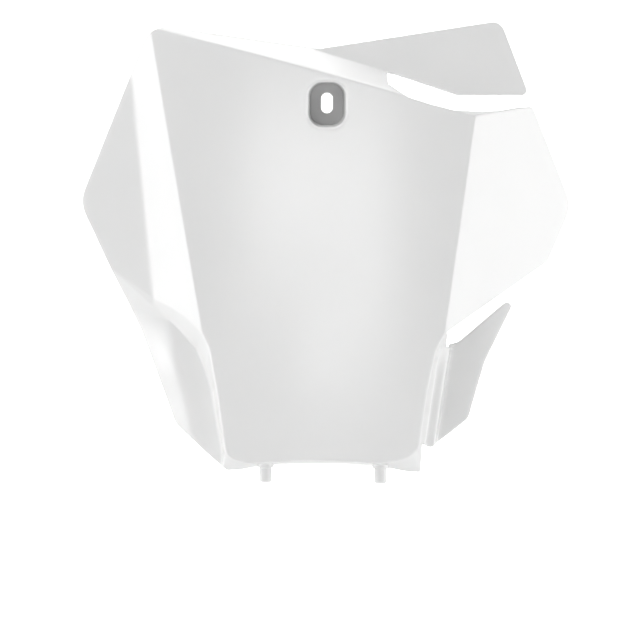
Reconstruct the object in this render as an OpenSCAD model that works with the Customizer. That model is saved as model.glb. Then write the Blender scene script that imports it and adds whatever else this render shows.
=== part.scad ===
// Front number board for an off-road motorcycle.
// One injection-moulded shell: a crowned number field with two folded-back
// wings, a fin set back behind its upper right edge, two lower side panels set
// back behind its lower edges, a screw pocket near the top and two locating
// pegs under the bottom flange.
//
// Frame: +X is the viewer's right, +Z is up, the front faces -Y.
// Origin: centre of the screw slot, on the face that the screw head bears on.

/* [Shell] */
// Wall thickness of the moulding
wall = 2.5; // [2:0.1:3]
// Side-to-side crown radius of the number field
crown_r = 450; // [400:10:600]
// Top-to-bottom crown radius of the number field
crown_v = 1400; // [1000:50:2000]
// Backward slope of the narrow strip beside the field's left edge
strip_slope = 0.9; // [0.8:0.02:1]
// Backward slope of the left wing outside that strip
left_slope = 0.32; // [0.25:0.01:0.4]
// Backward slope of the right wing at the field's edge
right_slope = 0.64; // [0.55:0.01:0.7]
// How far the right wing's slope eases towards its tip
right_ease = 0.0006; // [0.0004:0.0001:0.0008]
// How much the lower right panel turns towards the field
panel_turn = 0.2; // [0.1:0.01:0.22]
// Depth of the flange behind the field's bottom edge
flange_d = 15; // [12:0.5:17]

/* [Screw pocket] */
// Distance from the field's crest back to the face under the screw head
seat = 13; // [11:0.5:14]
// Width of the slot for the M6 screw
slot_w = 6.5; // [6.2:0.1:7]
// Height of the slot, end to end
slot_h = 11.5; // [9:0.5:13]
// Width of the pocket floor
pocket_w = 19; // [18:0.5:20]
// Height of the pocket floor
pocket_h = 23.5; // [22:0.5:25]
// How much wider the mouth of the pocket is on each side
pocket_draft = 1.4; // [0.8:0.1:2]
// Corner radius of the pocket floor
pocket_r = 7; // [5:0.5:9]
// Thickness of the pocket floor
floor_t = 3; // [2.5:0.5:4]
// How far the slot's centre lies above the middle of the pocket floor
slot_up = 0.7; // [0:0.1:1]

/* [Pegs] */
// Peg diameter
peg_d = 7; // [6:0.5:8]
// Distance between the peg centres
peg_pitch = 65; // [60:0.5:70]
// Height of the peg tips in the frame
peg_tip_z = -214.8; // [-217:0.1:-213]
// Chamfer at each peg tip
peg_chamfer = 0.8; // [0.5:0.1:1.2]
// Diameter of the flat collar that each peg's hole stops against
collar_d = 9; // [8.5:0.5:10]

/* [Hidden] */
$fn = 64;
cols = 12;      // divisions across the field
lift = 1.3;     // the slot's centre above the zero height of the points below
arc_n = 7;      // divisions along each rounded corner of the outline

// ---- depth rules: d is measured back from the crest of the field ----
function crown(x, z) = x * x / (2 * crown_r) + pow(z + 90, 2) / (2 * crown_v);
function mix(a, b, t) = a + (b - a) * t;

// Corners of the field, top to bottom, as [x, z]
left_top = [-101, 44];
left_low = [-68.7, -130];
right_top = [84, -5];
right_low = [67.3, -128.7];
left_edge = concat([for (j = [0:4]) mix(left_top, left_low, j / 4)],
                   [[-64.9, -138], [-60.5, -162], [-55, -200]]);
right_edge = concat([for (j = [0:4]) mix(right_top, right_low, j / 4)],
                    [[62.6, -138.5], [57.8, -163], [53, -199]]);

// x of the field's two ridges at a height z
function ridge_l(z) = left_top[0] + (z - left_top[1])
    * (left_low[0] - left_top[0]) / (left_low[1] - left_top[1]);
function ridge_r(z) = right_top[0] + (z - right_top[1])
    * (right_low[0] - right_top[0]) / (right_low[1] - right_top[1]);

// The bottom edge of the field bows down to its sides and lifts at its corners
function clip(t) = min(1, max(0, t));
function bottom_z(x) = -201.2 - 0.0012 * x * x
    + 15 * (1 - sqrt(1 - 0.98 * pow(clip((x - 26) / 27.5), 2)))
    + 12 * (1 - sqrt(1 - 0.98 * pow(clip((-36 - x) / 20), 2)));

function field_point(j, i) = let (t = i / cols,
        p = mix(left_edge[j], right_edge[j], t),
        z = j == 7 ? bottom_z(p[0]) : p[1])
    [p[0], z, crown(p[0], z)];
function flange_point(i) = let (t = i / cols, x = mix(-57.7, 55.4, t))
    [x, -203.6 - 0.0014 * x * x - 0.8 * exp(-pow((abs(x) - 47) / 7, 2)),
     crown(x, -201) + flange_d];

// Depth rules of the wings
function strip_d(x, z) = let (r = ridge_l(z)) crown(r, z) + strip_slope * (r - x);
crease = [for (j = [0:4]) let (x = mix(-114.7, -98, j / 4), z = mix(44, -110, j / 4))
    [x, z, strip_d(x, z)]];
function left_d(x, z) = let (t = min(1, max(0, (44 - z) / 154)),
        xc = mix(-114.7, -98, t), zc = mix(44, -110, t))
    strip_d(xc, zc) + left_slope * (xc - x);
function left_point(x, z) = [x, z, left_d(x, z)];
function right_d(x, z) = let (r = ridge_r(z), w = x - r)
    crown(r, z) + right_slope * w - right_ease * w * w;
function right_point(x, z) = [x, z, right_d(x, z)];

// Upper rim of the ramp above the field: it follows the silhouette's left arm,
// then the lower edge of the fin
function rim_point(x) = x < -8.6
    ? [x, 35.2 - (x + 4) * 0.133, 20]
    : [x, 31.7 - 0.2845 * (x + 6.5), 17 + 0.12 * (x + 6.5)];

// Lower right panel
function panel_point(x, z) = [x, z, 24.5 - panel_turn * (x - 71)];

// ---- all points of the front surface ----
n_row = cols + 1;
field_pts = [for (j = [0:7]) for (i = [0:cols]) field_point(j, i)];
flange_pts = [for (i = [0:cols]) flange_point(i)];
rim_pts = [for (i = [0:cols - 1]) rim_point(field_point(0, i)[0])];
left_pts = [
    left_point(-150, 44), left_point(-150, 6), left_point(-150, -30),
    left_point(-150, -60), left_point(-150, -75), left_point(-123.5, -93.5)];
right_pts = concat(
    [for (j = [0:4]) let (a = right_edge[j], b = [150, [9, -12, -34, -55, -72.5][j]],
        p = mix(a, b, 0.45)) right_point(p[0], p[1])],
    [for (j = [0:4]) right_point(150, [9, -12, -34, -55, -72.5][j])]);
fin_pts = [
    [78, 7.8, 28], [119, 8.8, 34], [121, 60, 36], [99, 57, 33], [-8.5, 40, 18]];
step_l = [  // lower left: foot of the wall, top to bottom
    [-79, -120.7, strip_d(-79, -120.7)],
    [-89, -122.3, 29.5], [-79.5, -131.3, 25.5], [-73, -138.5, 23],
    [-68.5, -148, 21.5], [-63.3, -163, 20.5], [-57.5, -196.5, 20]];
panel_l = [ // lower left: soft crease, then the outside of the panel
    [-87.5, -136, 26.4], [-85.9, -151, 25], [-80.8, -168, 24.2], [-72.5, -201, 23],
    [-122, -120, 46.5], [-108, -151, 46], [-98, -170, 42], [-90, -201, 38]];
step_r = [  // lower right: wall foot, ledge edge and second step
    [66, -137, 14], [63.7, -147, 16], [62, -160, 16.5], [57.5, -193, 17],
    [71.5, -136.7, 17.5], [69.6, -146.7, 17.5], [67.5, -160, 17.5], [63.2, -192, 17.5],
    panel_point(72.5, -134.8), panel_point(70.9, -147), panel_point(69, -160),
    panel_point(64.5, -192), [68.1, -134, 11]];
panel_r = [
    panel_point(118, -98.2), panel_point(118, -150), panel_point(100, -195),
    panel_point(66, -206), panel_point(150, -78)];

pts = concat(field_pts, flange_pts, crease, left_pts, rim_pts, right_pts,
             fin_pts, step_l, panel_l, step_r, panel_r);
// index of the first point of each group
i_fl = 8 * n_row;
i_cr = i_fl + n_row;
i_lf = i_cr + 5;
i_rm = i_lf + 6;
i_rt = i_rm + cols;
i_fn = i_rt + 10;
i_sl = i_fn + 5;
i_pl = i_sl + 7;
i_sr = i_pl + 8;
i_pr = i_sr + 13;
function f(j, i) = j * n_row + i;

// ---- facets of the front surface, counter-clockwise seen from the front ----
function quad(a, b, c, d) = [[a, b, c], [a, c, d]];
function flat(l) = [for (a = l) for (b = a) b];
field_facets = flat([for (j = [0:7]) for (i = [0:cols - 1])
    i < cols / 2
        ? quad(f(j, i), f(j + 1, i), f(j + 1, i + 1), f(j, i + 1))
        : [[f(j, i), f(j + 1, i), f(j, i + 1)], [f(j + 1, i), f(j + 1, i + 1), f(j, i + 1)]]]);
strip_facets = concat(flat([for (j = [0:2])
    quad(i_cr + j, i_cr + j + 1, f(j + 1, 0), f(j, 0))]),
    quad(i_cr + 3, i_cr + 4, i_sl, f(3, 0)), [[i_sl, f(4, 0), f(3, 0)]]);
left_facets = concat(flat([for (j = [0:3])
    quad(i_lf + j, i_lf + j + 1, i_cr + j + 1, i_cr + j)]),
    [[i_lf + 4, i_lf + 5, i_cr + 4]]);
right_facets = flat([for (j = [0:3]) concat(
    quad(f(j, cols), f(j + 1, cols), i_rt + j + 1, i_rt + j),
    quad(i_rt + j, i_rt + j + 1, i_rt + j + 6, i_rt + j + 5))]);
ramp_facets = concat(
    flat([for (i = [0:cols - 2]) quad(f(0, i), f(0, i + 1), i_rm + i + 1, i_rm + i)]),
    [[f(0, cols - 1), f(0, cols), i_fn], [f(0, cols - 1), i_fn, i_rm + cols - 1],
     [f(0, cols), i_rt, i_fn + 1], [f(0, cols), i_fn + 1, i_fn],
     [i_rt, i_rt + 5, i_fn + 1], [i_cr, f(0, 0), i_rm]]);
fin_facets = concat(
    [for (i = [6:cols - 2]) [i_rm + i, i_rm + i + 1, i_fn + 3]],
    [[i_rm + cols - 1, i_fn, i_fn + 3], [i_fn, i_fn + 1, i_fn + 3],
     [i_fn + 1, i_fn + 2, i_fn + 3], [i_rm + 6, i_fn + 3, i_fn + 4],
     [i_rm + 5, i_rm + 6, i_fn + 4]]);
low_left_facets = [
    [i_cr + 4, i_lf + 5, i_sl + 1],
    [i_cr + 4, i_sl + 1, i_sl + 2], [i_cr + 4, i_sl + 2, i_sl],
    [i_sl, i_sl + 2, i_sl + 3], [i_sl, i_sl + 3, f(4, 0)],
    [f(4, 0), i_sl + 3, i_sl + 4], [f(4, 0), i_sl + 4, f(5, 0)],
    [f(5, 0), i_sl + 4, i_sl + 5], [f(5, 0), i_sl + 5, f(6, 0)],
    [f(6, 0), i_sl + 5, i_sl + 6], [f(6, 0), i_sl + 6, f(7, 0)],
    [f(7, 0), i_sl + 6, i_fl],
    [i_sl + 1, i_pl, i_sl + 2], [i_sl + 2, i_pl, i_sl + 3],
    [i_sl + 3, i_pl, i_pl + 1], [i_sl + 3, i_pl + 1, i_sl + 4],
    [i_sl + 4, i_pl + 1, i_pl + 2], [i_sl + 4, i_pl + 2, i_sl + 5],
    [i_sl + 5, i_pl + 2, i_pl + 3], [i_sl + 5, i_pl + 3, i_sl + 6],
    [i_sl + 6, i_pl + 3, i_fl],
    [i_lf + 5, i_pl + 4, i_sl + 1], [i_sl + 1, i_pl + 4, i_pl],
    [i_pl, i_pl + 4, i_pl + 5], [i_pl, i_pl + 5, i_pl + 1],
    [i_pl + 1, i_pl + 5, i_pl + 6], [i_pl + 1, i_pl + 6, i_pl + 2],
    [i_pl + 2, i_pl + 6, i_pl + 7], [i_pl + 2, i_pl + 7, i_pl + 3],
    [i_lf + 4, i_pl + 4, i_lf + 5]];
low_right_facets = concat(
    [[f(4, cols), f(5, cols), i_sr], [f(4, cols), i_sr, i_sr + 12],
     [f(5, cols), i_sr + 1, i_sr], [f(5, cols), f(6, cols), i_sr + 1],
     [f(6, cols), i_sr + 2, i_sr + 1], [f(6, cols), f(7, cols), i_sr + 3],
     [f(6, cols), i_sr + 3, i_sr + 2], [f(7, cols), i_fl + cols, i_sr + 3]],
    flat([for (k = [0:2]) concat(
        quad(i_sr + k, i_sr + k + 1, i_sr + k + 5, i_sr + k + 4),
        quad(i_sr + k + 4, i_sr + k + 5, i_sr + k + 9, i_sr + k + 8))]),
    [[i_sr + 12, i_sr, i_sr + 4], [f(4, cols), i_sr + 12, i_sr + 4],
     [f(4, cols), i_sr + 4, i_sr + 8],
     [f(4, cols), i_sr + 8, i_rt + 4],
     [i_rt + 4, i_sr + 8, i_pr], [i_rt + 4, i_pr, i_pr + 4], [i_rt + 4, i_pr + 4, i_rt + 9],
     [i_sr + 8, i_pr + 1, i_pr], [i_sr + 8, i_sr + 9, i_pr + 1],
     [i_sr + 9, i_sr + 10, i_pr + 1], [i_sr + 10, i_pr + 2, i_pr + 1],
     [i_sr + 10, i_sr + 11, i_pr + 2], [i_sr + 11, i_pr + 3, i_pr + 2],
     [i_sr + 11, i_sr + 7, i_pr + 3], [i_sr + 7, i_sr + 3, i_pr + 3],
     [i_sr + 3, i_fl + cols, i_pr + 3], [i_pr, i_pr + 1, i_pr + 4]]);
facets = concat(field_facets, strip_facets, left_facets, right_facets,
                ramp_facets, fin_facets, low_left_facets, low_right_facets);

// ---- thickness: each point moves back along the mean normal of its facets ----
front = [for (p = pts) [p[0], p[2], p[1]]];
function unit(v) = v / norm(v);
normals = [for (t = facets)
    unit(cross(front[t[2]] - front[t[0]], front[t[1]] - front[t[0]]))];
function around(k) = [for (i = [0:len(facets) - 1])
    if (facets[i][0] == k || facets[i][1] == k || facets[i][2] == k) normals[i]];
function total(l, i = 0) = i == len(l) - 1 ? l[i] : l[i] + total(l, i + 1);
back = [for (k = [0:len(pts) - 1]) let (a = around(k), m = unit(total(a)),
        s = total([for (n = a) n * m]) / len(a))
    front[k] + m * wall / max(0.6, s)];

// ---- rim: edges that only one facet has ----
edges = [for (t = facets) for (i = [0:2]) [t[i], t[(i + 1) % 3]]];
edge_keys = [for (e = edges) e[0] * 1000 + e[1]];
rim_edges = [for (e = edges)
    if (len(search(e[1] * 1000 + e[0], edge_keys)) == 0) e];

module sheet() {
    n = len(pts);
    polyhedron(
        points = concat(front, back),
        faces = concat(
            [for (t = facets) [t[0], t[2], t[1]]],
            [for (t = facets) [t[0] + n, t[1] + n, t[2] + n]],
            flat([for (e = rim_edges) [[e[0], e[1], e[0] + n], [e[1], e[1] + n, e[0] + n]]])));
}

// ---- outline seen from the front: [x, z, corner radius], clockwise ----
corners = [
    [-101.5, 45.5, 16], [-4.2, 32.6, 3], [99.5, 51.5, 7], [116.3, 8.8, 3],
    [75.5, 7.8, 14], [34.2, 20.4, 0.8], [34.6, 12.6, 0.8], [45.5, 4.6, 4],
    [58, 0.8, 25], [72, -2.4, 15], [87.5, -2.2, 20], [98, -1.4, 20], [108, 1, 10],
    [118.4, 2.2, 2.5], [143.1, -54, 20], [128.8, -86.4, 3], [69.2, -127.6, 0.8],
    [69.3, -136.2, 0.6], [72.6, -136.2, 0.6], [73.4, -134, 0.6], [110.8, -103.6, 2.8],
    [91, -144.2, 30], [81.9, -176.7, 3], [61.8, -193.8, 3], [56.2, -190.8, 0.8],
    [55.6, -220, 1], [-41.35, -220, 1],
    [-85.2, -181.5, 9], [-106.3, -127.4, 40], [-123.5, -93.5, 10], [-142.3, -55, 18]];

// Points of a rounded corner b between its neighbours a and c
function rounded(a, b, c, r) = let (u = unit(a - b), v = unit(c - b),
        h = acos(u * v) / 2, m = unit(u + v), o = b + m * r / sin(h),
        p = b + u * r / tan(h) - o, q = b + v * r / tan(h) - o,
        sweep = acos(max(-1, min(1, p * q / (r * r)))), turn = sign(p[0] * q[1] - p[1] * q[0]))
    [for (i = [0:arc_n]) let (w = turn * sweep * i / arc_n)
        o + [p[0] * cos(w) - p[1] * sin(w), p[0] * sin(w) + p[1] * cos(w)]];
n_c = len(corners);
function xz(k) = let (c = corners[(k + n_c) % n_c]) [c[0], c[1]];
outline = [for (k = [0:n_c - 1]) each rounded(xz(k - 1), xz(k), xz(k + 1), corners[k][2])];

// Extrudes a shape drawn in front view from depth y0 to depth y1
module deep(y0, y1) {
    translate([0, y1, 0]) rotate([90, 0, 0]) linear_extrude(y1 - y0) children();
}

module rounded_box(w, h, r) {
    square([w - 2 * r, h], center = true);
    square([w, h - 2 * r], center = true);
    for (sx = [-1, 1]) for (sz = [-1, 1])
        translate([sx * (w / 2 - r), sz * (h / 2 - r)]) circle(r);
}

// Folded shell, trimmed to its outline
module shell() {
    intersection() {
        translate([0, -seat, 0]) sheet();
        deep(-20, 60) polygon(outline);
    }
}

// Cup behind the field: its front end is cut parallel to the field there
module cup() {
    w = pocket_w + 2 * (pocket_draft + wall);
    h = pocket_h + 2 * (pocket_draft + wall);
    difference() {
        deep(-seat, floor_t) rounded_box(w, h, pocket_r + pocket_draft + wall);
        translate([0, crown(0, 0) - seat + wall / 2, 0])
            rotate([-atan(90 / crown_v), 0, 0])
                translate([-30, -30, -30]) cube([60, 30, 60]);
    }
    for (s = [-1, 1])
        translate([0, 0, -1]) linear_extrude(2)
            polygon([[s * (w / 2 - 1), -seat + 4.4], [s * 30, -seat + 5.2], [s * (w / 2 - 1), 1]]);
}

// Drafted mouth of the pocket with a straight-walled floor
module cavity() {
    deep(-1, 0) rounded_box(pocket_w, pocket_h, pocket_r);
    w = pocket_w + 0.1;
    h = pocket_h + 0.1;
    k = [(w + 2 * pocket_draft) / w, (h + 2 * pocket_draft) / h];
    translate([0, -1, 0]) rotate([90, 0, 0])
        linear_extrude(seat, scale = k, slices = 1)
            rounded_box(w, h, pocket_r + 0.05, $fn = 32);
}

module slot(w, h, y0, y1) {
    deep(y0, y1) {
        square([w, h - w], center = true);
        for (s = [-1, 1]) translate([0, s * (h - w) / 2]) circle(d = w);
    }
}

// Locating peg under the flange, with its flat collar, and its root boss and
// gusset behind the field
module peg(x) {
    translate([x, 0, peg_tip_z + peg_chamfer]) cylinder(d = peg_d, h = 14);
    translate([x, 0, peg_tip_z])
        cylinder(d1 = peg_d - 2 * peg_chamfer, d2 = peg_d, h = peg_chamfer);
    translate([x, 0, -206.5]) cylinder(d = collar_d, h = 8);
    translate([x, 0, -203.3]) cylinder(d = peg_d + 4, h = 11.5);
    translate([x - 1, 0, -lift]) rotate([90, 0, 90]) linear_extrude(2)
        polygon([[-6.5, -203], [2, -203], [2, -191], [-6.5, -172]]);
}

module number_board() {
    color([0.95, 0.95, 0.94])
    difference() {
        union() {
            translate([0, 0, -lift]) shell();
            translate([0, 0, -slot_up]) cup();
            for (s = [-1, 1]) peg(s * peg_pitch / 2);
        }
        translate([0, 0, -slot_up]) cavity();
        slot(slot_w, slot_h, -5, floor_t + 5);
    }
}

number_board();
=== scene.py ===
import math

import bmesh
import bpy
import numpy as np
from mathutils import Matrix, Vector
from mathutils.geometry import delaunay_2d_cdt


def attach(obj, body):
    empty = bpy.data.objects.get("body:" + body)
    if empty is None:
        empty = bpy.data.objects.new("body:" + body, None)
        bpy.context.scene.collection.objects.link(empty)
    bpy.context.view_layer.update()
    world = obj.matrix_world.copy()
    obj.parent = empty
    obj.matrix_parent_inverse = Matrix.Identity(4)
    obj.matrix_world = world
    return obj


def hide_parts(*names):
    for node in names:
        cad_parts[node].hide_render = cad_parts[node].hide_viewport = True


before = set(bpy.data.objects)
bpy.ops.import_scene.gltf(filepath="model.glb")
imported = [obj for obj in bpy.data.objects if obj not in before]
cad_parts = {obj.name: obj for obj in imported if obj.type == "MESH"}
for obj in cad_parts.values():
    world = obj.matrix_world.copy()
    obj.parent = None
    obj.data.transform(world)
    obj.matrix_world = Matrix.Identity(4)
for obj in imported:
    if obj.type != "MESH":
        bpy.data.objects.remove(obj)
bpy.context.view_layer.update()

# ---------------------------------------------------------------------------
# The moulding is one shell. Its front is a surface of depth rules in front
# view: x to the viewer's right, z up, d back from the crest of the field, all
# in millimetres. The rules and points are those of the solid model.
# ---------------------------------------------------------------------------
WALL = 2.5
SEAT = 13.0
EDGE = 0.5          # rounding of the moulding's free edges
DROP = 1.3          # the rules' zero height lies this far below the screw slot
FLOOR_Z = 0.6       # middle of the pocket floor, in the rules' heights
MOUTH_Z = -0.5      # middle of the pocket's mouth


def crown(x, z):
    return x * x / 900.0 + (z + 90.0) ** 2 / 2800.0


def ridge_l(z):
    return -101.0 + (z - 44.0) * 32.3 / -174.0


def ridge_r(z):
    return 84.0 + (z + 5.0) * -16.7 / -123.7


def strip_d(x, z):
    r = ridge_l(z)
    return crown(r, z) + 0.9 * (r - x)


def crease_x(z):
    return -114.7 + 16.7 * np.clip((44.0 - z) / 154.0, 0.0, 1.0)


def left_d(x, z):
    t = np.clip((44.0 - z) / 154.0, 0.0, 1.0)
    xc, zc = -114.7 + 16.7 * t, 44.0 - 154.0 * t
    return strip_d(xc, zc) + 0.32 * (xc - x)


def right_d(x, z):
    r = ridge_r(z)
    w = x - r
    return crown(r, z) + 0.64 * w - 0.0006 * w * w


def top_line(x):
    return np.where(x < 84.0, 44.0 - 49.0 * (x + 101.0) / 185.0, -5.0 + 14.0 * (x - 84.0) / 66.0)


def rim_z(x):
    return np.where(x < -8.6, 35.2 - 0.133 * (x + 4.0), 31.7 - 0.2845 * (x + 6.5))


def rim_d(x):
    return np.where(x < -8.6, 20.0, 17.0 + 0.12 * (x + 6.5))


def ramp_d(x, z):
    zt = top_line(x)
    base = np.where(x < 84.0, crown(x, zt), right_d(x, zt))
    slope = np.where(x < 68.6, (rim_d(x) - base) / (rim_z(x) - zt),
                     np.interp(x, [68.6, 84.0, 121.0], [1.59, 1.4, 0.5]))
    return base + slope * (z - zt)


def fin_d(x, z):
    return 17.0 + 0.12 * (x + 6.5) + 0.06 * (z - (31.7 - 0.2845 * (x + 6.5)))


def fin_foot(x):
    """Height where the fin's rule takes over from the ramp's, and, past the ramp's end, a line in the open gap."""
    inner = 31.7 - 0.2845 * (x + 6.5)
    gap = np.interp(x, [34.2, 42.0, 60.0, 75.0, 84.0, 112.0, 121.0, 150.0],
                    [20.1, 15.6, 8.0, 4.0, 2.9, 6.1, 7.0, 12.0])
    return np.where(x < 34.2, inner, gap)


def panel_d(x, z):
    return 24.5 - 0.2 * (x - 71.0)


LEFT_Z = [-199.8, -162.0, -138.0, -130.0, 44.0]
LEFT_X = [-55.0, -60.5, -64.9, -68.7, -101.0]
RIGHT_Z = [-199.6, -163.0, -138.5, -128.7, -5.0]
RIGHT_X = [53.0, 57.8, 62.6, 67.3, 84.0]


def bottom_z(x):
    r = np.clip((x - 26.0) / 27.5, 0.0, 1.0)
    l = np.clip((-36.0 - x) / 20.0, 0.0, 1.0)
    return (-201.2 - 0.0012 * x * x + 15.0 * (1 - np.sqrt(1 - 0.98 * r * r))
            + 12.0 * (1 - np.sqrt(1 - 0.98 * l * l)))


def flange_z(x):
    return -203.6 - 0.0014 * x * x - 0.8 * np.exp(-((np.abs(x) - 47.0) / 7.0) ** 2)


def lower_gap(x):
    return np.interp(x, [70.0, 100.0, 110.8, 128.0, 150.0], [-131.0, -109.3, -101.6, -91.5, -77.0])


# ---- polylines of the lower folds, as (x, z, d) ----
def on_strip(x, z):
    return (x, z, float(strip_d(x, z)))


def on_crown(x, z):
    return (x, z, float(crown(x, z)))


L0 = (-123.5, -93.5, float(left_d(-123.5, -93.5)))
UPPER_L = [L0, on_strip(-98, -110), on_strip(-86.2, -116.4), on_strip(-79, -120.7), on_crown(-68.7, -130),
           on_crown(-64.9, -138), on_crown(-60.5, -162), on_crown(-55, -199.8)]
FOOT_L = [L0, (-99.8, -113.3, 30.6), (-89, -122.3, 29.5), (-82.5, -128.3, 26.6), (-73, -138.5, 23),
          (-68.5, -148, 21.5), (-63.3, -163, 20.5), (-57.5, -196.5, 20)]
INNER_A = [(-89, -122.3, 29.5), (-82.5, -128.3, 26.6), (-73, -138.5, 23), (-68.5, -148, 21.5),
           (-63.3, -163, 20.5), (-57.5, -196.5, 20)]
INNER_B = [(-89, -122.3, 29.5), (-88, -130, 27.6), (-87.5, -137.5, 26.2), (-85.9, -151, 25),
           (-80.8, -168, 24.2), (-72.5, -201, 23)]
OUTER_A = [L0, (-99.8, -113.3, 30.6)] + INNER_B
OUTER_B = [(-137, -97, 45), (-129, -107, 46), (-124, -113, 46.4), (-122, -120, 46.5), (-115, -136, 46.5),
           (-108, -151, 46), (-98, -170, 42), (-90, -201, 38)]

EDGE_R = [on_crown(67.3, -128.7), on_crown(64.95, -133.6), on_crown(62.6, -138.5), on_crown(60.93, -147),
          on_crown(58.4, -160), on_crown(57.8, -163), on_crown(53.8, -193), on_crown(53, -199.6)]
FOOT_R = [(68.1, -134, 11), (67, -135.6, 12.6), (66, -137, 14), (63.7, -147, 16), (62, -160, 16.5),
          (61.6, -163, 16.6), (57.5, -193, 17), (56.6, -200, 17.1)]
LEDGE_R = [(71.5, -136.7, 17.5), (69.6, -146.7, 17.5), (67.5, -160, 17.5), (67.0, -163, 17.5),
           (63.2, -192, 17.5), (62.2, -200, 17.5)]
PANEL_R = [(x, z, panel_d(x, z)) for x, z in [(72.5, -134.8), (70.9, -147), (69, -160), (68.5, -163),
                                           (64.5, -192), (63.4, -200)]]


def dense(line, n=10):
    a = np.array(line, float)
    t = np.linspace(0, len(a) - 1, (len(a) - 1) * n + 1)
    return np.stack([np.interp(t, range(len(a)), a[:, k]) for k in range(3)], 1)


def loft(a, b, n=10):
    a, b = dense(a, n), dense(b, n)
    out = []
    for i in range(len(a) - 1):
        out += [(a[i], b[i], b[i + 1]), (a[i], b[i + 1], a[i + 1])]
    return out


t = np.linspace(0, 1, 61)
fx = -55 + 108 * t
front_row = np.stack([fx, bottom_z(fx), crown(fx, bottom_z(fx))], 1)
rx = -57.7 + 113.1 * t
rear_row = np.stack([rx, flange_z(rx), crown(rx, -201.0) + 15.0], 1)
over_row = rear_row + (rear_row - front_row) * [0.4, 1.0, 1.0]
triangles = (loft(UPPER_L, FOOT_L) + loft(INNER_A, INNER_B) + loft(OUTER_A, OUTER_B)
             + loft(EDGE_R, FOOT_R) + loft(FOOT_R[2:], LEDGE_R) + loft(LEDGE_R, PANEL_R))
triangles += [(FOOT_R[0], FOOT_R[1], LEDGE_R[0]), (FOOT_R[1], FOOT_R[2], LEDGE_R[0]),
              (EDGE_R[0], FOOT_R[0], LEDGE_R[0]), (EDGE_R[0], LEDGE_R[0], PANEL_R[0])]
for a, b in ((front_row, rear_row), (rear_row, over_row)):
    for i in range(60):
        triangles += [(a[i], b[i], b[i + 1]), (a[i], b[i + 1], a[i + 1])]
triangles += [(front_row[0], FOOT_L[-1], rear_row[0]), (FOOT_L[-1], INNER_B[-1], rear_row[0]),
              (front_row[-1], rear_row[-1], FOOT_R[-1]), (rear_row[-1], (64.0, -212.0, 22.0), FOOT_R[-1]),
              (FOOT_R[-1], (64.0, -212.0, 22.0), PANEL_R[-1])]

# ---- the depth grid ----
H = 0.2
GX0, GZ0 = -150.0, -222.0
gx = GX0 + H * np.arange(1501)
gz = GZ0 + H * np.arange(1421)
X, Z = np.meshgrid(gx, gz)
D = np.where(X < crease_x(Z), left_d(X, Z), strip_d(X, Z))
middle = X >= ridge_l(Z)
D[middle] = crown(X, Z)[middle]
wing = (X > ridge_r(Z))
D[wing] = right_d(X, Z)[wing]
above = middle & (Z > top_line(X))
D[above] = ramp_d(X, Z)[above]
fin = (X > -8.6) & (Z > fin_foot(X))
D[fin] = fin_d(X, Z)[fin]
xp = np.interp(gz, [-200, -192, -163, -160, -147, -134.8], [63.4, 64.5, 68.5, 69, 70.9, 72.5])[:, None]
panel = (X > xp) & (Z < lower_gap(X))
D[panel] = panel_d(X, Z)[panel]
# past the flange's ends the flange's own depth runs on
low = Z < np.interp(X, [-90.0, -72.5, -57.7, 55.4, 64.0], [-201.0, -201.0, -208.0, -208.0, -209.0])
low &= (X < -50.0) | (X > 48.0)
D[low] = np.interp(X, [-90.0, -72.5, -57.7, 55.4, 64.0], [38.0, 23.0, 23.1, 22.8, 22.0])[low]
for tri in triangles:
    a, b, c = (np.asarray(p, float) for p in tri)
    i0 = max(0, int((min(a[0], b[0], c[0]) - GX0) / H) - 1)
    i1 = min(1500, int((max(a[0], b[0], c[0]) - GX0) / H) + 2)
    j0 = max(0, int((min(a[1], b[1], c[1]) - GZ0) / H) - 1)
    j1 = min(1420, int((max(a[1], b[1], c[1]) - GZ0) / H) + 2)
    if i1 <= i0 or j1 <= j0:
        continue
    px, pz = X[j0:j1 + 1, i0:i1 + 1], Z[j0:j1 + 1, i0:i1 + 1]
    den = (b[0] - a[0]) * (c[1] - a[1]) - (c[0] - a[0]) * (b[1] - a[1])
    if abs(den) < 1e-9:
        continue
    u = ((px - a[0]) * (c[1] - a[1]) - (c[0] - a[0]) * (pz - a[1])) / den
    v = ((b[0] - a[0]) * (pz - a[1]) - (px - a[0]) * (b[1] - a[1])) / den
    hit = (u >= -1e-6) & (v >= -1e-6) & (u + v <= 1 + 1e-6)
    D[j0:j1 + 1, i0:i1 + 1][hit] = (a[2] + u * (b[2] - a[2]) + v * (c[2] - a[2]))[hit]

# ---- fillets: the depth is averaged over a small disc, wider away from the sharp folds ----
SIGMAS = [0.35 * 1.6 ** k for k in range(6)]
fz = np.fft.fftfreq(D.shape[0], H)[:, None]
fr = np.fft.rfftfreq(D.shape[1], H)[None, :]
spectrum = np.fft.rfft2(D)
LEVELS = [np.fft.irfft2(spectrum * np.exp(-2 * (math.pi * s) ** 2 * (fz * fz + fr * fr)), s=D.shape).astype(np.float32)
          for s in SIGMAS]

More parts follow.
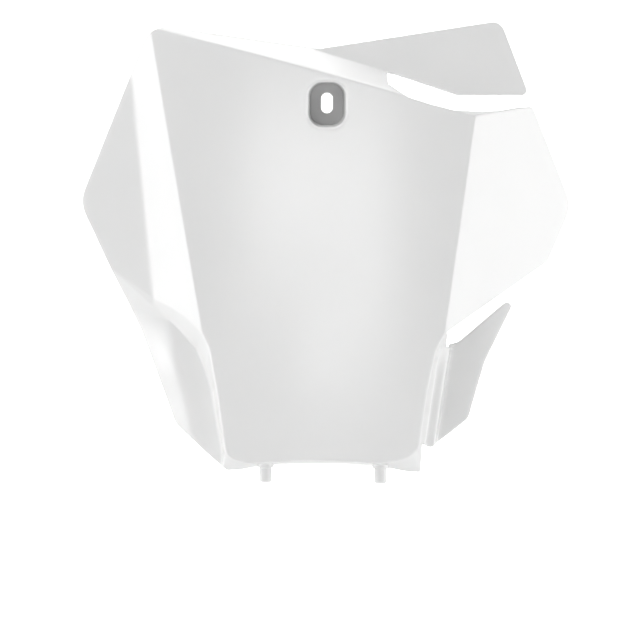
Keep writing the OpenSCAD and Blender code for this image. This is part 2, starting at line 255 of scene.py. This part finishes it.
SHARP = [
    [(-101, 44), (-68.7, -130), (-64.9, -138), (-60.5, -162), (-55, -199.8)],
    [(84, -5), (67.3, -128.7), (62.6, -138.5), (57.8, -163), (53, -199.6)],
    [(-101, 44), (84, -5), (150, 9)],
    [(float(p[0]), float(p[1])) for p in front_row[::3]],
    [(float(p[0]), float(p[1])) for p in rear_row[::10]],
    [(-8.6, 32.3), (34.2, 20.1)],
    [p[:2] for p in UPPER_L[:5]],
    [p[:2] for p in FOOT_L],
    [p[:2] for p in FOOT_R],
    [p[:2] for p in LEDGE_R],
    [p[:2] for p in PANEL_R],
    [(-57.5, -196.5), (-57.7, -208.3)],
]
GUARD = [[(34.2, 20.1), (42, 15.6), (60, 8), (75, 4), (84, 2.9), (112, 6.1), (121, 7), (150, 12)],
         [(67.3, -128.7), (72.5, -129.2), (100, -109.3), (110.8, -101.6), (128, -91.5), (150, -77)]]


def segments(lines):
    return np.array([(*a, *b) for line in lines for a, b in zip(line, line[1:])], float)


def far(p, segs):
    """Distance of each point to the nearest of the segments."""
    best = np.full(len(p), 1e9)
    for x0, z0, x1, z1 in segs:
        d = np.array([x1 - x0, z1 - z0])
        w = np.clip(((p - [x0, z0]) @ d) / max(d @ d, 1e-12), 0, 1)
        best = np.minimum(best, np.hypot(p[:, 0] - x0 - w * d[0], p[:, 1] - z0 - w * d[1]))
    return best


FOLDS = segments(SHARP + GUARD)
GAPS = segments(GUARD)
CREASE = segments([[(-111.8, 17.0), (-98.2, -109.0)]])


def spread(p):
    """Fillet width: small at the folds, a little wider along the left wing's crease."""
    return np.clip(np.minimum(0.3 * far(p, FOLDS), 0.7 + 0.3 * far(p, CREASE)), 0.45, 3.0)


def broad(p, s):
    """Width over which the wall's direction is averaged; it stays clear of the open gaps."""
    return np.maximum(s, np.clip(0.3 * far(p, GAPS), 0.45, 2.0))


def sample(p, s):
    i = np.clip((p[:, 0] - GX0) / H, 0, 1499.999)
    j = np.clip((p[:, 1] - GZ0) / H, 0, 1419.999)
    i0, j0 = i.astype(int), j.astype(int)
    u, v = i - i0, j - j0
    k = np.clip(np.log(s / SIGMAS[0]) / math.log(1.6), 0, len(SIGMAS) - 1.001)
    k0 = k.astype(int)
    out = np.zeros((2, len(p)))
    for n, grid in enumerate(LEVELS):
        for m in (0, 1):
            use = k0 + m == n
            if use.any():
                a, b, cu, cv = i0[use], j0[use], u[use], v[use]
                out[m][use] = ((grid[b, a] * (1 - cu) + grid[b, a + 1] * cu) * (1 - cv)
                               + (grid[b + 1, a] * (1 - cu) + grid[b + 1, a + 1] * cu) * cv)
    w = k - k0
    return out[0] * (1 - w) + out[1] * w


def inward(p, s, e=0.3):
    """Unit normals into the material."""
    gx_ = (sample(p + [e, 0], s) - sample(p - [e, 0], s)) / (2 * e)
    gz_ = (sample(p + [0, e], s) - sample(p - [0, e], s)) / (2 * e)
    n = np.stack([-gx_, np.ones(len(p)), -gz_], 1)
    return n / np.linalg.norm(n, axis=1)[:, None]


def front_of(p, sink=0.0):
    s = spread(p)
    q = np.stack([p[:, 0], sample(p, s) - SEAT, p[:, 1]], 1)
    if sink:
        q = q + inward(p, broad(p, s)) * sink
    return q


def back_of(p, rise=0.0):
    s = spread(p)
    q = np.stack([p[:, 0], sample(p, s) - SEAT, p[:, 1]], 1)
    n = inward(p, broad(p, s))
    c = np.clip(np.sum(n * inward(p, s), 1), 0.6, 1.0)
    return q + n * (WALL / c - rise)[:, None]


# ---- outline in front view: x, z, corner radius, clockwise ----
CORNERS = [
    (-101.5, 45.5, 16), (-4.2, 32.6, 3), (99.5, 51.5, 7), (116.3, 8.8, 3), (75.5, 7.8, 14), (34.2, 20.4, 0.8),
    (34.6, 12.6, 0.8), (45.5, 4.6, 4), (58, 0.8, 25), (72, -2.4, 15), (87.5, -2.2, 20), (98, -1.4, 20),
    (108, 1.0, 10), (118.4, 2.2, 2.5), (143.1, -54, 20), (128.8, -86.4, 3), (69.2, -127.6, 0.8),
    (69.3, -136.2, 0.6), (72.5, -136.8, 0.6), (110.4, -103.3, 2.45), (91.2, -144.2, 30),
    (82.2, -176.8, 6), (61.8, -193.8, 3), (56.2, -190.8, 0.8), (55.6, -207.9, 0.8),
    None,
    (-54.9, -208.1, 1.5), (-85.2, -181.5, 9), (-106.3, -127.4, 40), (-123.5, -93.5, 10),
    (-142.3, -55, 18)]


def rounded(a, b, c, r):
    a, b, c = (np.array(q[:2], float) for q in (a, b, c))
    u, v = (a - b) / np.linalg.norm(a - b), (c - b) / np.linalg.norm(c - b)
    h = math.acos(max(-1.0, min(1.0, float(u @ v)))) / 2
    m = (u + v) / np.linalg.norm(u + v)
    o = b + m * r / math.sin(h)
    p, q = b + u * r / math.tan(h) - o, b + v * r / math.tan(h) - o
    sweep = math.acos(max(-1.0, min(1.0, float(p @ q) / (r * r))))
    turn = 1.0 if p[0] * q[1] - p[1] * q[0] > 0 else -1.0
    n = max(4, min(16, int(sweep * max(r, 2.0) / 0.9) + 1))
    out = []
    for i in range(n + 1):
        w = turn * sweep * i / n
        out.append(o + [p[0] * math.cos(w) - p[1] * math.sin(w), p[0] * math.sin(w) + p[1] * math.cos(w)])
    return out


def outline_points():
    pts = []
    n = len(CORNERS)
    flange = [np.array([x, float(flange_z(x))]) for x in np.linspace(53, -52.5, 40)]
    for k, c in enumerate(CORNERS):
        if c is None:
            pts += flange
            continue
        before = CORNERS[k - 1] if CORNERS[k - 1] is not None else tuple(flange[-1])
        after = CORNERS[(k + 1) % n]
        after = tuple(flange[0]) if after is None else after
        pts += rounded(before, c, after, c[2])
    out = []
    for a, b in zip(pts, pts[1:] + pts[:1]):
        d = np.linalg.norm(b - a)
        if d < 1e-3:
            continue
        m = max(1, int(round(d / 1.5)))
        out += [a + (b - a) * i / m for i in range(m)]
    return np.array(out)


OUTLINE = outline_points()
prev_p, next_p = np.roll(OUTLINE, 1, 0), np.roll(OUTLINE, -1, 0)
e0 = (OUTLINE - prev_p) / np.linalg.norm(OUTLINE - prev_p, axis=1)[:, None]
e1 = (next_p - OUTLINE) / np.linalg.norm(next_p - OUTLINE, axis=1)[:, None]
n0, n1 = np.stack([e0[:, 1], -e0[:, 0]], 1), np.stack([e1[:, 1], -e1[:, 0]], 1)
IN = n0 + n1
IN /= np.linalg.norm(IN, axis=1)[:, None]
IN /= np.maximum(0.7, np.sum(IN * n0, 1))[:, None]


def inset(d):
    return OUTLINE + IN * d


def inside(p, loop):
    odd = np.zeros(len(p), bool)
    for a, b in zip(loop, np.roll(loop, -1, 0)):
        cross = (a[1] > p[:, 1]) != (b[1] > p[:, 1])
        with np.errstate(divide="ignore", invalid="ignore"):
            at = a[0] + (p[:, 1] - a[1]) * (b[0] - a[0]) / (b[1] - a[1])
        odd ^= cross & (p[:, 0] < at)
    return odd


RING = 96


def ring(hw, hh, r):
    """Rounded rectangle with RING points, anticlockwise from +x."""
    quarter = []
    n = RING // 4
    lengths = [hh - r, r * math.pi / 2, hw - r]
    total = sum(lengths)
    for i in range(n):
        s = total * i / n
        if s < lengths[0]:
            quarter.append((hw, s))
        elif s < lengths[0] + lengths[1]:
            w = (s - lengths[0]) / r
            quarter.append((hw - r + r * math.cos(w), hh - r + r * math.sin(w)))
        else:
            quarter.append((hw - r - (s - lengths[0] - lengths[1]), hh))
    # the next quarters mirror the first one, in turn
    q1 = np.array(quarter)
    q2 = np.array([(-x, z) for x, z in reversed(quarter[1:])])
    top = np.array([[0.0, hh]])
    half = np.concatenate([q1, top, q2])
    left = np.array([[-hw, 0.0]])
    other = np.array([(-x, -z) for x, z in half])
    full = np.concatenate([half, left, other[1:]])
    return full


MOUTH = 1.6         # width of the chamfered mouth of the pocket
mouth_loop = ring(10.48 + MOUTH, 12.73 + MOUTH, 7.98 + MOUTH) + [0, MOUTH_Z]
CUP = (13.9, 16.15, 11.4)
cup_loop = ring(CUP[0] + 1.5, CUP[1] + 1.5, CUP[2] + 1.5) + [0, FLOOR_Z]


def fill_points(loop, hole, offsets, step, grid):
    """Points of one face of the shell: lines that run along each fold, then a plain grid between them."""
    cells = {}
    kept = []

    def take(points, rmin):
        for x, z in points:
            i, j = int(math.floor(x / 1.0)), int(math.floor(z / 1.0))
            reach = int(math.ceil(rmin))
            ok = True
            for a in range(i - reach, i + reach + 1):
                for b in range(j - reach, j + reach + 1):
                    for q in cells.get((a, b), ()):
                        if (q[0] - x) ** 2 + (q[1] - z) ** 2 < rmin * rmin:
                            ok = False
                            break
                    if not ok:
                        break
                if not ok:
                    break
            if ok:
                cells.setdefault((i, j), []).append((x, z))
                kept.append((x, z))

    edge_segs = np.concatenate([np.concatenate([loop, np.roll(loop, -1, 0)], 1),
                                np.concatenate([hole, np.roll(hole, -1, 0)], 1)])

    def room(points, gap):
        points = np.array(points)
        good = inside(points, loop) & ~inside(points, hole)
        points = points[good]
        return points[far(points, edge_segs) > gap] if len(points) else points

    for o in offsets:
        group = []
        for line in SHARP:
            a = np.array(line, float)
            seg = np.linalg.norm(np.diff(a, axis=0), axis=1)
            s = np.concatenate([[0], np.cumsum(seg)])
            n = max(2, int(round(s[-1] / step)))
            at = np.linspace(0, s[-1], n + 1)
            p = np.stack([np.interp(at, s, a[:, 0]), np.interp(at, s, a[:, 1])], 1)
            g = np.gradient(p, axis=0)
            g /= np.linalg.norm(g, axis=1)[:, None]
            for side in ((1, -1) if o else (1,)):
                group.append(p + np.stack([g[:, 1], -g[:, 0]], 1) * o * side)
        take(room(np.concatenate(group), 0.35), 0.24 if o < 0.9 else 0.45)
    nx, nz = int(300 / grid), int(290 / (grid * 0.866))
    plain = [(-150 + (i + 0.5 * (j % 2)) * grid, -222 + j * grid * 0.866) for j in range(nz) for i in range(nx)]
    take(room(plain, grid * 0.45), grid * 0.62)
    return np.array(kept)


def triangulate(loop, hole, points):
    every = np.concatenate([loop, hole, points])
    nl, nh = len(loop), len(hole)
    edges = [(i, (i + 1) % nl) for i in range(nl)] + [(nl + i, nl + (i + 1) % nh) for i in range(nh)]
    verts, _, faces, origin, _, _ = delaunay_2d_cdt([Vector((float(x), float(z))) for x, z in every], edges, [], 0, 1e-5)
    back = [o[0] for o in origin]
    tri = np.array([[back[i] for i in f] for f in faces if len(f) == 3])
    mid = every[tri].mean(1)
    tri = tri[inside(mid, loop) & ~inside(mid, hole)]
    a, b, c = every[tri[:, 0]], every[tri[:, 1]], every[tri[:, 2]]
    area = (b[:, 0] - a[:, 0]) * (c[:, 1] - a[:, 1]) - (c[:, 0] - a[:, 0]) * (b[:, 1] - a[:, 1])
    tri[area < 0] = tri[area < 0][:, ::-1]      # anticlockwise in front view, so they face the front
    return every, tri[np.abs(area) > 1e-7]


loop = inset(EDGE)
points = fill_points(loop, mouth_loop, [0, 0.3, 0.6, 1.0, 1.5, 2.2, 3.2], 1.5, 2.1)
front_2d, front_tri = triangulate(loop, mouth_loop, points)
points = fill_points(loop, cup_loop, [0, 1.0, 2.2, 3.6], 2.2, 3.0)
back_2d, back_tri = triangulate(loop, cup_loop, points)
print("front", len(front_2d), len(front_tri), "back", len(back_2d), len(back_tri))

verts, faces = [], []


def add(points_3d):
    start = sum(len(v) for v in verts)
    verts.append(np.asarray(points_3d, float))
    return start


def bridge(a, b, n, flip=False):
    """Quads between two loops of n points that start at a and b."""
    for i in range(n):
        j = (i + 1) % n
        q = (a + i, a + j, b + j, b + i)
        faces.append(q[::-1] if flip else q)


# front and back faces
NL = len(loop)
f0 = add(front_of(front_2d))
faces += [tuple(int(i) + f0 for i in tri) for tri in front_tri]
b0 = add(back_of(back_2d))
faces += [tuple(int(i) + b0 for i in tri[::-1]) for tri in back_tri]

# rounded rim round the outline
last = f0
for a in (30, 60, 90):
    w = math.radians(a)
    now = add(front_of(inset(EDGE * (1 - math.sin(w))), EDGE * (1 - math.cos(w))))
    bridge(last, now, NL, True)
    last = now
for a in (90, 60, 30):
    w = math.radians(a)
    now = add(back_of(inset(EDGE * (1 - math.sin(w))), EDGE * (1 - math.cos(w))))
    bridge(last, now, NL, True)
    last = now
bridge(last, b0, NL, True)

# the screw pocket: mouth, wall, floor, slot and the cup behind it
last = f0 + NL


def pocket_ring(hw, hh, r, y, middle=FLOOR_Z):
    global last
    p = ring(hw, hh, r) + [0, middle]
    now = add(np.stack([p[:, 0], np.broadcast_to(y, (RING,)), p[:, 1]], 1))
    bridge(last, now, RING, False)
    last = now


def field_y(p):
    return sample(p, spread(p)) - SEAT


for o, sunk in ((1.45, 0.03), (1.3, 0.11), (1.15, 0.22), (0.85, 0.47), (0.5, 0.78), (0.3, 0.99), (0.13, 1.24), (0, 1.6)):
    p = ring(10.48 + o, 12.73 + o, 7.98 + o) + [0, MOUTH_Z]
    pocket_ring(10.48 + o, 12.73 + o, 7.98 + o, field_y(p) + sunk, MOUTH_Z)
mouth_y = field_y(ring(10.48, 12.73, 7.98) + [0, MOUTH_Z]) + MOUTH
for k in (0.33, 0.66, 1.0):
    y = mouth_y * (1 - k) - 0.7 * k
    o = 0.96 * (1 - k)
    pocket_ring(9.52 + o, 11.77 + o, 7.02 + o, y, MOUTH_Z * (1 - k) + FLOOR_Z * k)
# the pocket floor's faces, from here to the next count, get the grey painted-shade material below
shade_floor_first = len(faces)
for a in (20, 45, 70, 90):
    w = math.radians(a)
    o = -0.7 * (1 - math.cos(w))
    pocket_ring(9.5 + o, 11.75 + o, 7 + o, -0.7 + 0.7 * math.sin(w))
pocket_ring(8.2, 10.4, 6.0, 0.0)
for o in (2.4, 0.9, 0.3):
    pocket_ring(3.25 + o, 5.75 + o, 3.25 + o, 0.0, DROP)
shade_floor_last = len(faces)
for a in (30, 60, 90):
    w = math.radians(a)
    o = 0.3 * (1 - math.sin(w))
    pocket_ring(3.25 + o, 5.75 + o, 3.25 + o, 0.3 * (1 - math.cos(w)), DROP)
for a in (90, 60, 30, 0):
    w = math.radians(a)
    o = 0.3 * (1 - math.sin(w))
    pocket_ring(3.25 + o, 5.75 + o, 3.25 + o, 3.0 - 0.3 * (1 - math.cos(w)), DROP)
pocket_ring(3.25 + 2.4, 5.75 + 2.4, 3.25 + 2.4, 3.0, DROP)
pocket_ring(10.6, 12.9, 8.2, 3.0)
for a in (0, 25, 50, 75, 90):
    w = math.radians(a)
    o = -0.8 * (1 - math.sin(w))
    pocket_ring(CUP[0] + o, CUP[1] + o, CUP[2] + o, 3.0 - 0.8 * (1 - math.cos(w)))


def back_y(p):
    return back_of(p)[:, 1]


cup_y = back_y(ring(*CUP) + [0, FLOOR_Z]) + 1.5
for k in (0.5, 1.0):
    pocket_ring(*CUP, 2.2 * (1 - k) + cup_y * k)
for a in (65, 45, 22):
    w = math.radians(a)
    o = 1.5 * (1 - math.sin(w))
    p = ring(CUP[0] + o, CUP[1] + o, CUP[2] + o) + [0, FLOOR_Z]
    pocket_ring(CUP[0] + o, CUP[1] + o, CUP[2] + o, back_y(p) + 1.5 * (1 - math.cos(w)))
bridge(last, b0 + NL, RING, False)


def to_object(name, points_3d, polys, shade_floor_faces=()):
    mesh = bpy.data.meshes.new(name)
    mesh.from_pydata([tuple(float(c) * 0.001 for c in q) for q in points_3d], [], polys)
    # the listed faces take the second slot, the grey painted shade of the pocket floor
    for i in shade_floor_faces:
        mesh.polygons[i].material_index = 1
    mesh.update()
    o = bpy.data.objects.new(name, mesh)
    bpy.context.scene.collection.objects.link(o)
    return o


shell_points = np.concatenate(verts) - [0, 0, DROP]
board = to_object("number_board_shell", shell_points, faces, range(shade_floor_first, shade_floor_last))


def closed(o):
    bm = bmesh.new()
    bm.from_mesh(o.data)
    bmesh.ops.recalc_face_normals(bm, faces=bm.faces)
    bad = sum(1 for e in bm.edges if len(e.link_faces) != 2)
    volume = bm.calc_volume(signed=True) * 1e9
    if volume < 0:
        bmesh.ops.reverse_faces(bm, faces=bm.faces)
        volume = -volume
    bm.to_mesh(o.data)
    bm.free()
    return bad, volume


print("shell open edges, mm3:", closed(board))


# ---- pegs, bosses and gussets ----
def lathe(name, x, y, profile, n=40):
    profile = [(r, z - DROP) for r, z in profile]
    pts = [(x, y, profile[0][1])]
    polys = []
    for r, z in profile[1:-1]:
        pts += [(x + r * math.cos(2 * math.pi * i / n), y + r * math.sin(2 * math.pi * i / n), z) for i in range(n)]
    pts.append((x, y, profile[-1][1]))
    m = len(profile) - 2
    for i in range(n):
        j = (i + 1) % n
        polys.append((0, 1 + j, 1 + i))
        for k in range(m - 1):
            a, b = 1 + k * n, 1 + (k + 1) * n
            polys.append((a + i, a + j, b + j, b + i))
        a = 1 + (m - 1) * n
        polys.append((a + i, a + j, len(pts) - 1))
    o = to_object(name, pts, polys)
    closed(o)
    return o


def plate(name, outline_yz, x, thick, plane="x", bevel=0.5):
    """A thin plate: the outline is drawn across the plate's own plane."""
    bm = bmesh.new()
    loops = []
    if plane == "x":
        outline_yz = [(a, b - DROP) for a, b in outline_yz]
    for s in (-0.5, 0.5):
        loops.append([bm.verts.new(tuple(c * 0.001 for c in (
            (x + s * thick, a, b) if plane == "x" else (a, b, x + s * thick)))) for a, b in outline_yz])
    bm.faces.new(loops[0])
    bm.faces.new(loops[1][::-1])
    n = len(outline_yz)
    for i in range(n):
        j = (i + 1) % n
        bm.faces.new((loops[0][i], loops[0][j], loops[1][j], loops[1][i]))
    bmesh.ops.recalc_face_normals(bm, faces=bm.faces)
    bmesh.ops.bevel(bm, geom=list(bm.edges), offset=bevel * 0.001, segments=3, affect="EDGES", profile=0.5)
    bmesh.ops.recalc_face_normals(bm, faces=bm.faces)
    if bm.calc_volume(signed=True) < 0:
        bmesh.ops.reverse_faces(bm, faces=bm.faces)
    mesh = bpy.data.meshes.new(name)
    bm.to_mesh(mesh)
    bm.free()
    o = bpy.data.objects.new(name, mesh)
    bpy.context.scene.collection.objects.link(o)
    return o


def unite(target, tool):
    m = target.modifiers.new("join", "BOOLEAN")
    m.operation = "UNION"
    m.solver = "MANIFOLD"
    m.object = tool
    dg = bpy.context.evaluated_depsgraph_get()
    mesh = bpy.data.meshes.new_from_object(target.evaluated_get(dg))
    target.modifiers.clear()
    old = target.data
    target.data = mesh
    bpy.data.meshes.remove(old)
    bpy.data.objects.remove(tool)


def arc(r0, z0, rad, a0, a1, n=4):
    return [(r0 + rad * math.cos(math.radians(a0 + (a1 - a0) * i / n)),
             z0 + rad * math.sin(math.radians(a0 + (a1 - a0) * i / n))) for i in range(n + 1)]


for sx in (-32.5, 32.5):
    profile = [(0, -213.5)] + arc(2.7, -212.7, 0.8, -90, 0, 5) + arc(3.9, -205.6, 0.4, 180, 90, 3)
    profile += arc(4.2, -204.9, 0.3, -90, 0, 3) + [(4.5, -203.0), (4.5, -200.5), (4.7, -200.4), (5.5, -200.3)]
    profile += arc(5.0, -191.0, 0.5, 0, 90, 4) + [(0, -190.5)]
    unite(board, lathe("peg", sx, 0.0, profile))
    unite(board, plate("gusset", [(-7.2, -201.5), (1.8, -201.5), (1.8, -191.2), (0.5, -190.6), (-6.2, -172.5)], sx, 2.0))
for s in (-1, 1):
    unite(board, plate("cup_gusset", [(s * 12.9, -8.9), (s * 30.5, -8.9), (s * 29.5, -7.6), (s * 14.4, 0.6), (s * 12.9, 0.9)],
                       FLOOR_Z - DROP, 2.0, plane="z"))
print("board open edges, mm3:", closed(board), "faces", len(board.data.polygons))

board.data.polygons.foreach_set("use_smooth", [True] * len(board.data.polygons))
board.data.set_sharp_from_angle(angle=math.radians(38))
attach(board, "root")
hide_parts("number_board")


# ---------------------------------------------------------------------------
# Material: white semi-gloss moulded polypropylene
# ---------------------------------------------------------------------------
def plastic(name, dark, light, rough_low, rough_high):
    mat = bpy.data.materials.new(name)
    mat.use_nodes = True
    nt = mat.node_tree
    nt.nodes.clear()
    out = nt.nodes.new("ShaderNodeOutputMaterial")
    bsdf = nt.nodes.new("ShaderNodeBsdfPrincipled")
    nt.links.new(bsdf.outputs["BSDF"], out.inputs["Surface"])
    coord = nt.nodes.new("ShaderNodeTexCoord")
    bsdf.inputs["IOR"].default_value = 1.49
    bsdf.inputs["Specular IOR Level"].default_value = 0.8
    bsdf.inputs["Subsurface Weight"].default_value = 0.08
    bsdf.inputs["Subsurface Radius"].default_value = (1.0, 0.95, 0.9)
    bsdf.inputs["Subsurface Scale"].default_value = 0.0015

    # slow clouding of the resin's tint and gloss
    cloud = nt.nodes.new("ShaderNodeTexNoise")
    cloud.inputs["Scale"].default_value = 14.0
    cloud.inputs["Detail"].default_value = 3.0
    nt.links.new(coord.outputs["Object"], cloud.inputs["Vector"])
    tint = nt.nodes.new("ShaderNodeValToRGB")
    tint.color_ramp.elements[0].position = 0.3
    tint.color_ramp.elements[0].color = (*dark, 1)
    tint.color_ramp.elements[1].position = 0.7
    tint.color_ramp.elements[1].color = (*light, 1)
    nt.links.new(cloud.outputs["Fac"], tint.inputs["Fac"])
    nt.links.new(tint.outputs["Color"], bsdf.inputs["Base Color"])
    rough = nt.nodes.new("ShaderNodeMapRange")
    rough.inputs["To Min"].default_value = rough_low
    rough.inputs["To Max"].default_value = rough_high
    nt.links.new(cloud.outputs["Fac"], rough.inputs["Value"])
    nt.links.new(rough.outputs["Result"], bsdf.inputs["Roughness"])

    # fine moulded grain under a slight ripple
    grain = nt.nodes.new("ShaderNodeTexNoise")
    grain.inputs["Scale"].default_value = 2200.0
    grain.inputs["Detail"].default_value = 2.0
    ripple = nt.nodes.new("ShaderNodeTexNoise")
    ripple.inputs["Scale"].default_value = 180.0
    ripple.inputs["Detail"].default_value = 1.0
    for n in (grain, ripple):
        nt.links.new(coord.outputs["Object"], n.inputs["Vector"])
    b1 = nt.nodes.new("ShaderNodeBump")
    b1.inputs["Strength"].default_value = 0.12
    b1.inputs["Distance"].default_value = 0.00004
    b2 = nt.nodes.new("ShaderNodeBump")
    b2.inputs["Strength"].default_value = 0.15
    b2.inputs["Distance"].default_value = 0.00008
    nt.links.new(ripple.outputs["Fac"], b2.inputs["Height"])
    nt.links.new(grain.outputs["Fac"], b1.inputs["Height"])
    nt.links.new(b2.outputs["Normal"], b1.inputs["Normal"])
    nt.links.new(b1.outputs["Normal"], bsdf.inputs["Normal"])
    return mat


zones = [p.material_index for p in board.data.polygons]
board.data.materials.clear()
board.data.materials.append(plastic("white_polypropylene", (0.862, 0.864, 0.862), (0.882, 0.883, 0.881), 0.23, 0.28))
# painted shade: the pocket floor gets a dull grey copy of the white plastic, standing in for the shade deep inside the
# screw pocket
board.data.materials.append(plastic("pocket_floor_painted_shade", (0.46, 0.46, 0.46), (0.5, 0.5, 0.5), 0.5, 0.6))
print("painted shade floor faces", sum(1 for z in zones if z), "of", shade_floor_last - shade_floor_first)
board.data.polygons.foreach_set("material_index", [min(1, z) for z in zones])


# ---------------------------------------------------------------------------
# Stage: pale floor and backdrop, soft lights, camera
# ---------------------------------------------------------------------------
def stage_plane(name, corners, tone, near, far_away, y0, y1):
    """A pale sheet whose own light rises from near to far_away between y0 and y1."""
    o = to_object(name, [tuple(c * 1000.0 for c in q) for q in corners], [(0, 1, 2, 3)])
    mat = bpy.data.materials.new(name)
    mat.use_nodes = True
    nt = mat.node_tree
    b = nt.nodes["Principled BSDF"]
    b.inputs["Base Color"].default_value = (tone, tone, tone, 1)
    b.inputs["Roughness"].default_value = 0.9
    b.inputs["Emission Color"].default_value = (1, 1, 1, 1)
    coord = nt.nodes.new("ShaderNodeTexCoord")
    axes = nt.nodes.new("ShaderNodeSeparateXYZ")
    rise = nt.nodes.new("ShaderNodeMapRange")
    rise.inputs["From Min"].default_value = y0
    rise.inputs["From Max"].default_value = y1
    rise.inputs["To Min"].default_value = near
    rise.inputs["To Max"].default_value = far_away
    nt.links.new(coord.outputs["Object"], axes.inputs["Vector"])
    nt.links.new(axes.outputs["Y"], rise.inputs["Value"])
    nt.links.new(rise.outputs["Result"], b.inputs["Emission Strength"])
    o.data.materials.append(mat)
    return o


stage_plane("floor", [(-4, -3, -0.42), (4, -3, -0.42), (4, 2.6, -0.42), (-4, 2.6, -0.42)], 0.55, 0.43, 1.1, 0.3, 0.85)
stage_plane("backdrop", [(-1.3, 2.6, -0.42), (1.3, 2.6, -0.42), (1.3, 2.6, 1.4), (-1.3, 2.6, 1.4)], 0.9, 1.0, 1.0, 0.0, 1.0)

world = bpy.data.worlds.new("studio")
world.use_nodes = True
world.node_tree.nodes["Background"].inputs["Color"].default_value = (1, 1, 1, 1)
world.node_tree.nodes["Background"].inputs["Strength"].default_value = 0.02
bpy.context.scene.world = world

AIM = Vector((0.0, 0.0, -0.08))


def softbox(name, azimuth, elevation, distance, width, height, power):
    """A soft light aimed at the board; azimuth 0 is straight in front, and grows to the viewer's right."""
    light = bpy.data.lights.new(name, "AREA")
    light.shape = "RECTANGLE"
    light.size = width
    light.size_y = height
    light.energy = power
    o = bpy.data.objects.new(name, light)
    bpy.context.scene.collection.objects.link(o)
    az, el = math.radians(azimuth), math.radians(elevation)
    o.location = AIM + Vector((math.sin(az) * math.cos(el), -math.cos(az) * math.cos(el), math.sin(el))) * distance
    o.rotation_mode = "QUATERNION"
    o.rotation_quaternion = (AIM - o.location).to_track_quat("-Z", "Y")
    return o


softbox("left_box", -96, 1, 1.3, 1.1, 1.3, 8.8)
softbox("left_inner_box", -70, 1, 1.3, 0.5, 1.3, 2.6)
softbox("right_box", 79, 0, 1.3, 0.8, 1.3, 10.8)
softbox("high_box", -45, 50, 1.3, 0.8, 0.8, 4.3)
softbox("top_box", 0, 85, 1.2, 0.9, 0.9, 6.3)
softbox("rear_top_box", 180, 66, 1.2, 0.9, 0.8, 2.6)
softbox("front_strip_left", -12, 4, 1.9, 0.22, 0.8, 0.8)
softbox("front_strip_right", 9, 4, 1.9, 0.22, 0.8, 2.4)
softbox("front_strip_low", 0, -10, 1.9, 0.22, 0.5, 2.0)
softbox("front_fill", -4, 8, 1.9, 0.6, 0.5, 3.2)

cam_data = bpy.data.cameras.new("camera")
cam_data.sensor_width = 36.0
cam_data.lens = 127.55
cam_data.clip_start = 0.05
cam_data.clip_end = 60.0
cam = bpy.data.objects.new("camera", cam_data)
bpy.context.scene.collection.objects.link(cam)
cam.matrix_world = (Matrix.Translation((-0.0055, -1.263, -0.1188 - 0.001 * DROP)) @ Matrix.Rotation(math.radians(90), 4, "X")
                    @ Matrix.Rotation(math.radians(0.6), 4, "Z"))
bpy.context.scene.camera = cam
bpy.context.scene.view_settings.view_transform = "Standard"
bpy.context.scene.view_settings.look = "None"
bpy.context.scene.view_settings.gamma = 0.85
